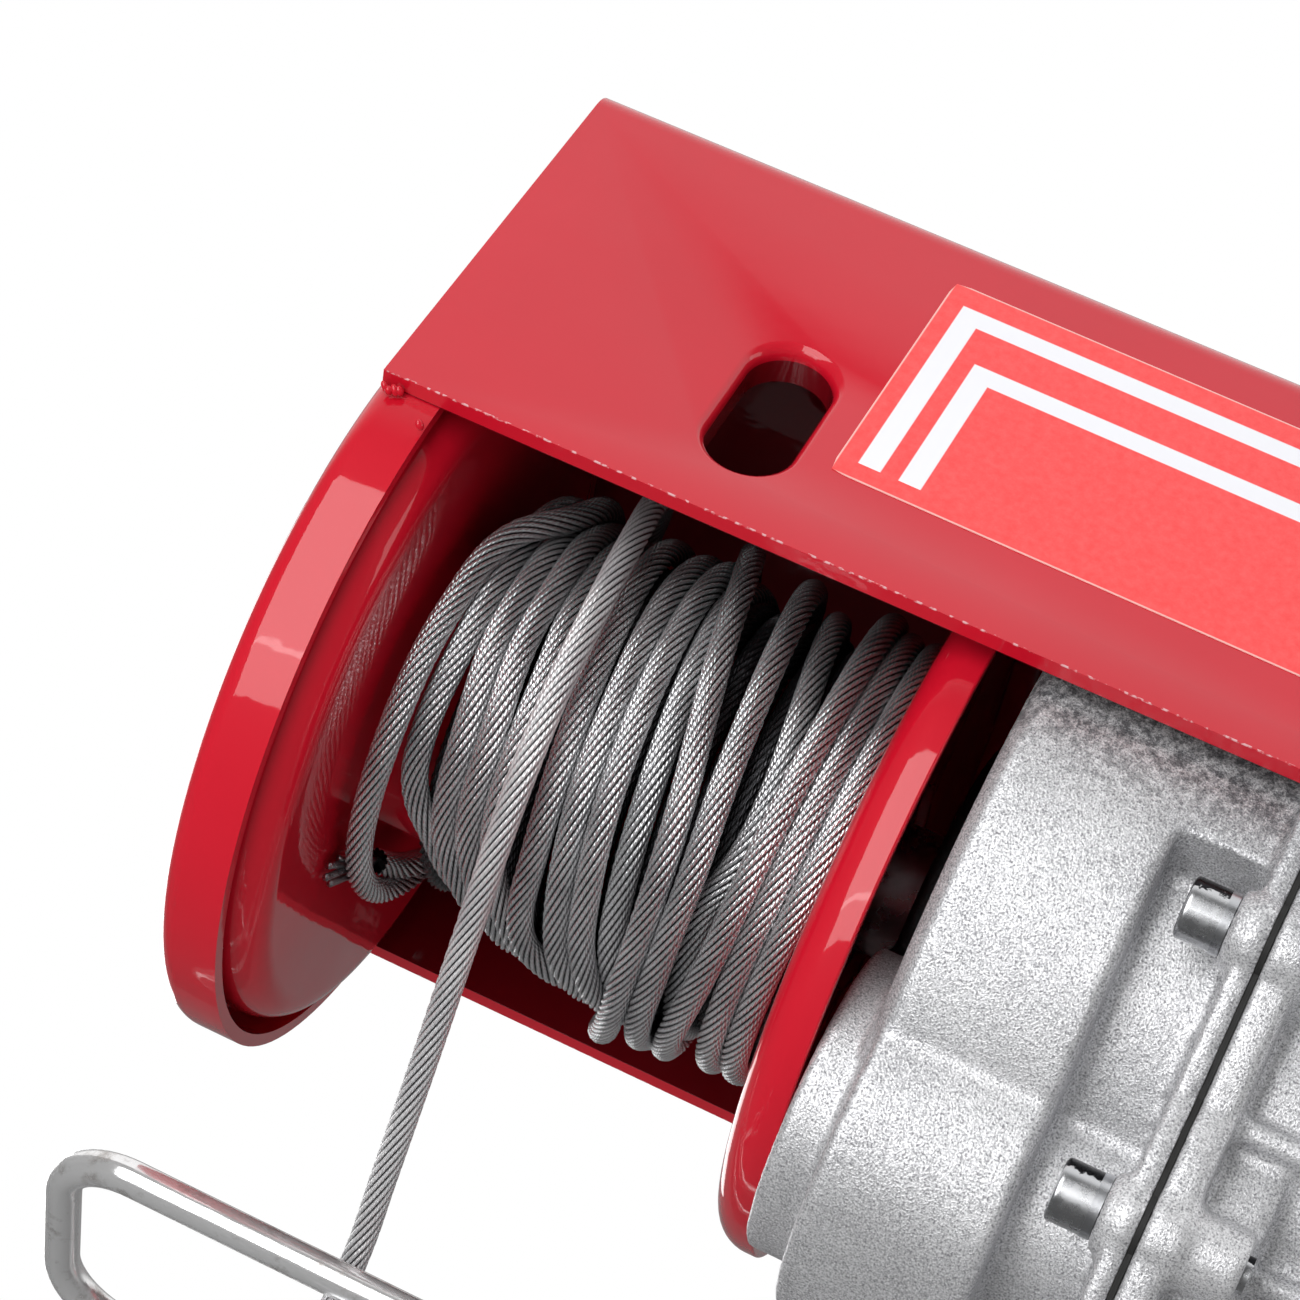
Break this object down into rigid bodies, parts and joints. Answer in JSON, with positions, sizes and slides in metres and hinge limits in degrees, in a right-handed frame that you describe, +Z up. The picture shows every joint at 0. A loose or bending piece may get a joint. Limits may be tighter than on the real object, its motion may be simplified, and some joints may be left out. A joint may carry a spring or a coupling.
{
  "type": "come along winch",
  "caption": "Compact electric wire rope hoist: folded steel channel, flanged drum, cast gearbox, motor with brake, limit lever and safety hook.",
  "frame": {"origin": "centre of the four hanging bolt holes on the channel's top face", "axes": "+X along the drum from the end pan to the motor, +Z up, -Y the front wall with the slot and the label"},
  "size_m": [0.3517, 0.1674, 0.2669],
  "materials": {
    "red_paint": "gloss baked enamel",
    "label_film": "gloss printed film",
    "cast_aluminium": "as-cast, fine grain",
    "pressed_aluminium": "satin",
    "machined_steel": "machined",
    "lamination_steel": "dull",
    "zinc_plated_steel": "bright zinc",
    "nickel_plated_rod": "drawn, plated, lightly scuffed",
    "wire_rope": "galvanised, dry",
    "forged_steel": "zinc plated forging",
    "black_plastic": "fine texture",
    "brake_lining": "dull",
    "white_plastic": "smooth",
    "gasket_rubber": "dull",
    "enamelled_copper": "varnished",
    "capacitor_can": "smooth"
  },
  "bodies": {
    "frame": {"channel_frame": "red_paint", "label_plate": "label_film", "end_pan": "red_paint", "end_bearing_housing": "cast_aluminium", "end_bearing": "machined_steel", "end_housing_screws": "zinc_plated_steel", "rope_fall": "wire_rope", "rope_eye": "wire_rope", "rope_tail": "wire_rope", "rope_ferrule": "pressed_aluminium", "thimble": "zinc_plated_steel", "lever_pivot_pin": "zinc_plated_steel", "lever_bracket": "zinc_plated_steel", "lever_bracket_bolts": "zinc_plated_steel", "limit_switch_box": "black_plastic", "gear_housing_left": "cast_aluminium", "gear_housing_right": "cast_aluminium", "gear_gasket": "gasket_rubber", "housing_screws": "zinc_plated_steel", "spring_washers": "zinc_plated_steel", "bearing_plate": "cast_aluminium", "output_bearings": "machined_steel", "oil_seal": "gasket_rubber", "intermediate_bearings": "machined_steel", "motor_bearings": "machined_steel", "stator_core": "lamination_steel", "stator_windings": "enamelled_copper", "motor_shell": "cast_aluminium", "motor_end_shield": "cast_aluminium", "brake_magnet": "lamination_steel", "fan_cover": "black_plastic", "frame_bolts": "zinc_plated_steel", "terminal_box": "black_plastic", "terminal_box_lid": "black_plastic", "run_capacitor": "capacitor_can"},
    "drum": {"drum_barrel": "red_paint", "drum_left_flange": "red_paint", "drum_right_flange": "red_paint", "drum_left_hub": "machined_steel", "drum_drive_hub": "machined_steel", "drum_stub_shaft": "machined_steel", "drum_key": "machined_steel", "rope_clamp": "zinc_plated_steel", "winding_core": "wire_rope", "rope_winding": "wire_rope", "output_shaft": "machined_steel", "output_gear": "machined_steel"},
    "intermediate": {"intermediate_shaft": "machined_steel", "intermediate_gear": "machined_steel"},
    "rotor": {"motor_shaft": "machined_steel", "rotor_core": "lamination_steel", "brake_disc": "brake_lining", "cooling_fan": "black_plastic"},
    "armature": {"brake_armature": "machined_steel"},
    "lever": {"limit_lever": "nickel_plated_rod"},
    "plunger": {"switch_plunger": "white_plastic"},
    "hook": {"hook": "forged_steel", "latch_pin": "zinc_plated_steel", "latch_spring": "zinc_plated_steel"},
    "latch": {"hook_latch": "zinc_plated_steel"}
  },
  "joints": [
    {"name": "drum_spin", "type": "hinge", "parent": "frame", "child": "drum", "pos_m": [-0.086, 0, -0.0665], "axis": [1, 0, 0], "continuous": true},
    {"name": "intermediate_spin", "type": "hinge", "parent": "frame", "child": "intermediate", "pos_m": [-0.015, -0.00439, -0.10827], "axis": [1, 0, 0], "continuous": true},
    {"name": "motor_spin", "type": "hinge", "parent": "frame", "child": "rotor", "pos_m": [0.095, -0.00125, -0.07843], "axis": [1, 0, 0], "continuous": true},
    {"name": "brake_release", "type": "slide", "parent": "frame", "child": "armature", "axis": [-1, 0, 0], "range_m": [0, 0.00035], "stiffness_N_per_m": 4000, "springref_m": -0.005},
    {"name": "lever_lift", "type": "hinge", "parent": "frame", "child": "lever", "pos_m": [0.055, 0.058, -0.1415], "axis": [0, 1, 0], "range_deg": [0, 2]},
    {"name": "plunger_push", "type": "slide", "parent": "frame", "child": "plunger", "axis": [0, 0, 1], "range_m": [0, 0.0012]},
    {"name": "hook_swing", "type": "hinge", "parent": "frame", "child": "hook", "pos_m": [-0.0939, 0.0495, -0.198], "axis": [1, 0, 0], "range_deg": [-70, 70]},
    {"name": "latch_open", "type": "hinge", "parent": "hook", "child": "latch", "pos_m": [-0.0939, 0.0537, -0.2195], "axis": [1, 0, 0], "range_deg": [-30, 0], "stiffness_Nm_per_rad": 0.05, "springref_deg": 22.92}
  ],
  "couplings": [
    {"joint": "intermediate_spin", "follows": "drum_spin", "ratio": -3.6667},
    {"joint": "motor_spin", "follows": "drum_spin", "ratio": 18.333},
    {"joint": "plunger_push", "follows": "lever_lift", "m_per_rad": 0.0325}
  ]
}
